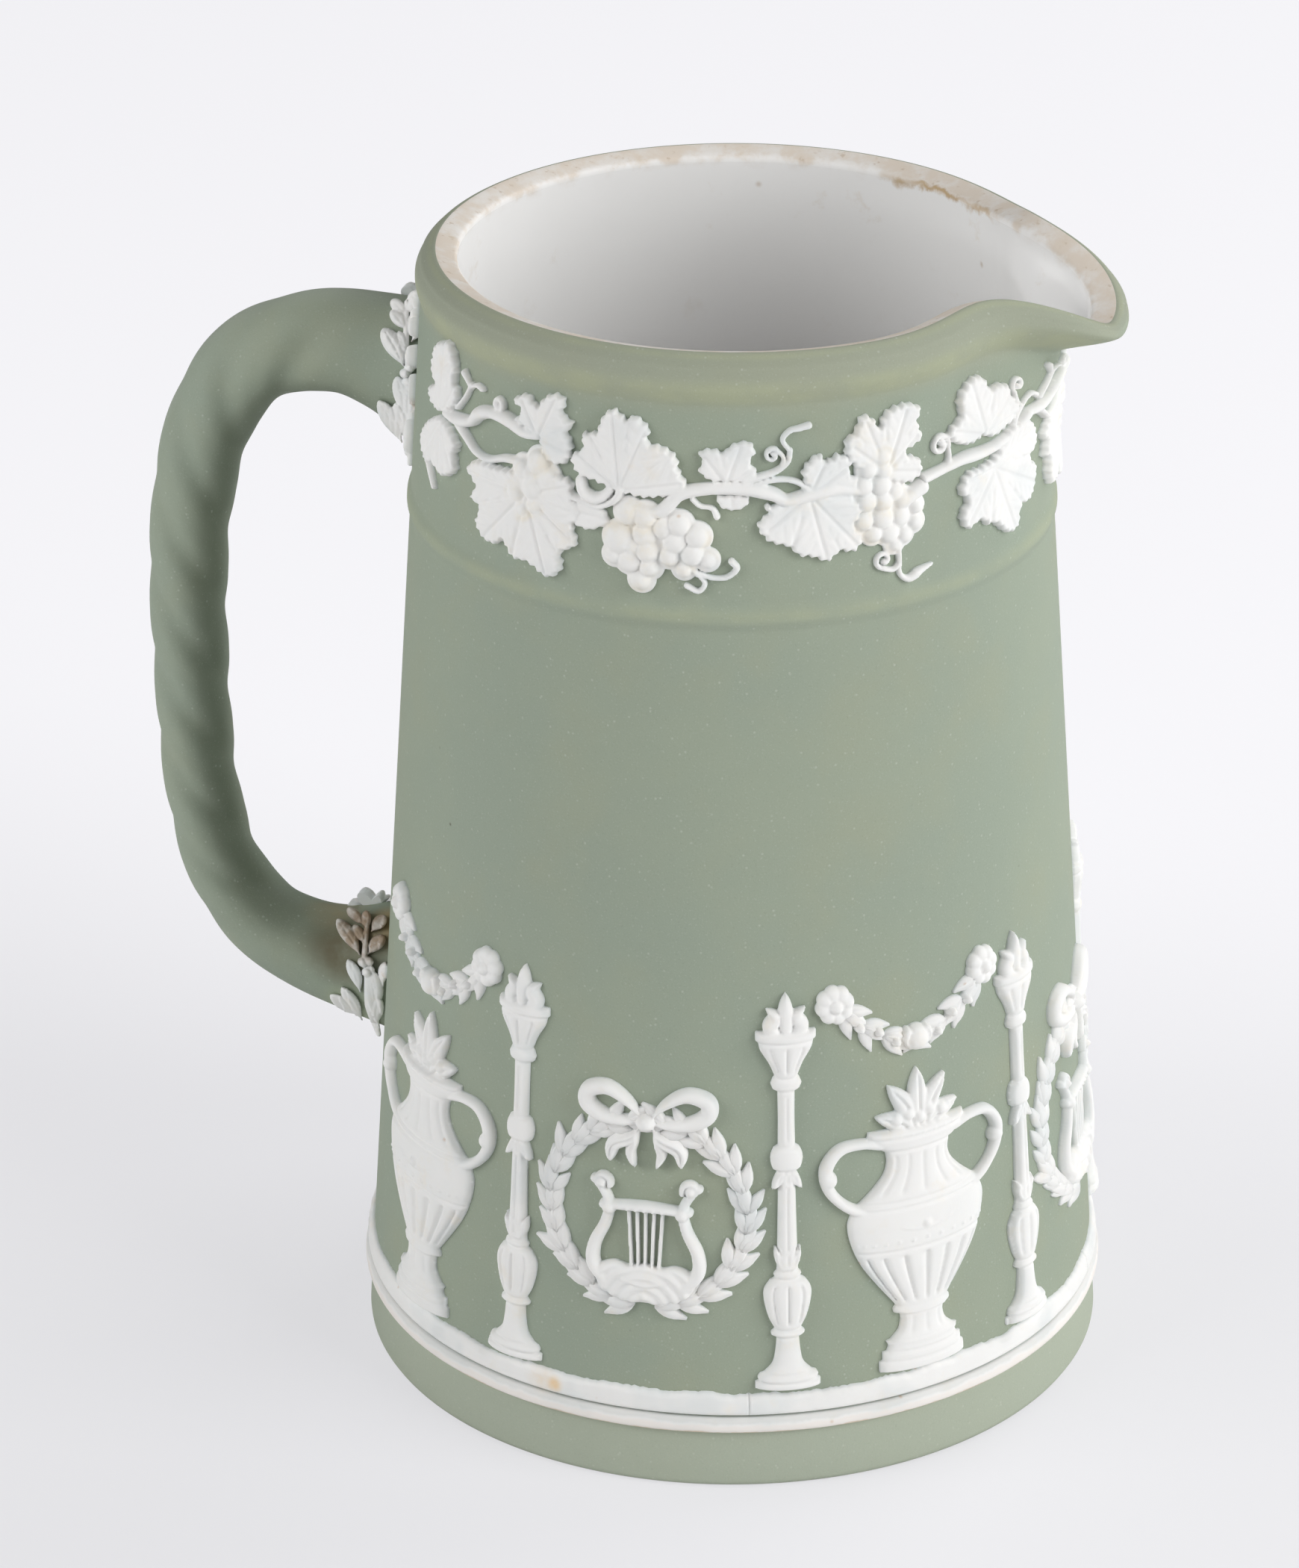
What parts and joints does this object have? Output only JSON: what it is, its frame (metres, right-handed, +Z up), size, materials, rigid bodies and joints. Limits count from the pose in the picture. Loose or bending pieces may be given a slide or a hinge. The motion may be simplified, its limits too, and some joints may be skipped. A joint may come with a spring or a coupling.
{
  "type": "jug",
  "caption": "Straight-sided tapering stoneware jug with a pulled spout, a roped loop handle and applied white relief of vines, urns, wreaths and swags.",
  "frame": {"origin": "centre of the flat base, on the surface it stands on", "axes": "+Z up along the body's axis, +X towards the spout, the handle stands at -X"},
  "size_m": [0.1412, 0.1076, 0.1667],
  "materials": {
    "green_stoneware": "matte unglazed, fine grained, sage green",
    "white_relief": "matte unglazed white, cream in the recesses"
  },
  "bodies": {
    "root": {"jug_body": "green_stoneware", "handle": "green_stoneware", "base_band": "white_relief", "candelabrum_1": "white_relief", "candelabrum_2": "white_relief", "candelabrum_3": "white_relief", "candelabrum_4": "white_relief", "candelabrum_5": "white_relief", "candelabrum_6": "white_relief", "ground_strip_1": "white_relief", "ground_strip_2": "white_relief", "ground_strip_3": "white_relief", "ground_strip_4": "white_relief", "laurel_swag_1": "white_relief", "laurel_swag_3": "white_relief", "laurel_swag_5": "white_relief", "laurel_swag_7": "white_relief", "low_falling_left_spray": "white_relief", "low_falling_right_spray": "white_relief", "low_rising_left_spray": "white_relief", "low_rising_right_spray": "white_relief", "lyre_wreath_2": "white_relief", "lyre_wreath_4": "white_relief", "lyre_wreath_6": "white_relief", "top_falling_left_spray": "white_relief", "top_falling_right_spray": "white_relief", "top_rising_left_spray": "white_relief", "top_rising_right_spray": "white_relief", "urn_1": "white_relief", "urn_3": "white_relief", "urn_5": "white_relief", "urn_7": "white_relief", "vine_sprig_1": "white_relief", "vine_sprig_2": "white_relief", "vine_sprig_3": "white_relief"}
  },
  "joints": []
}
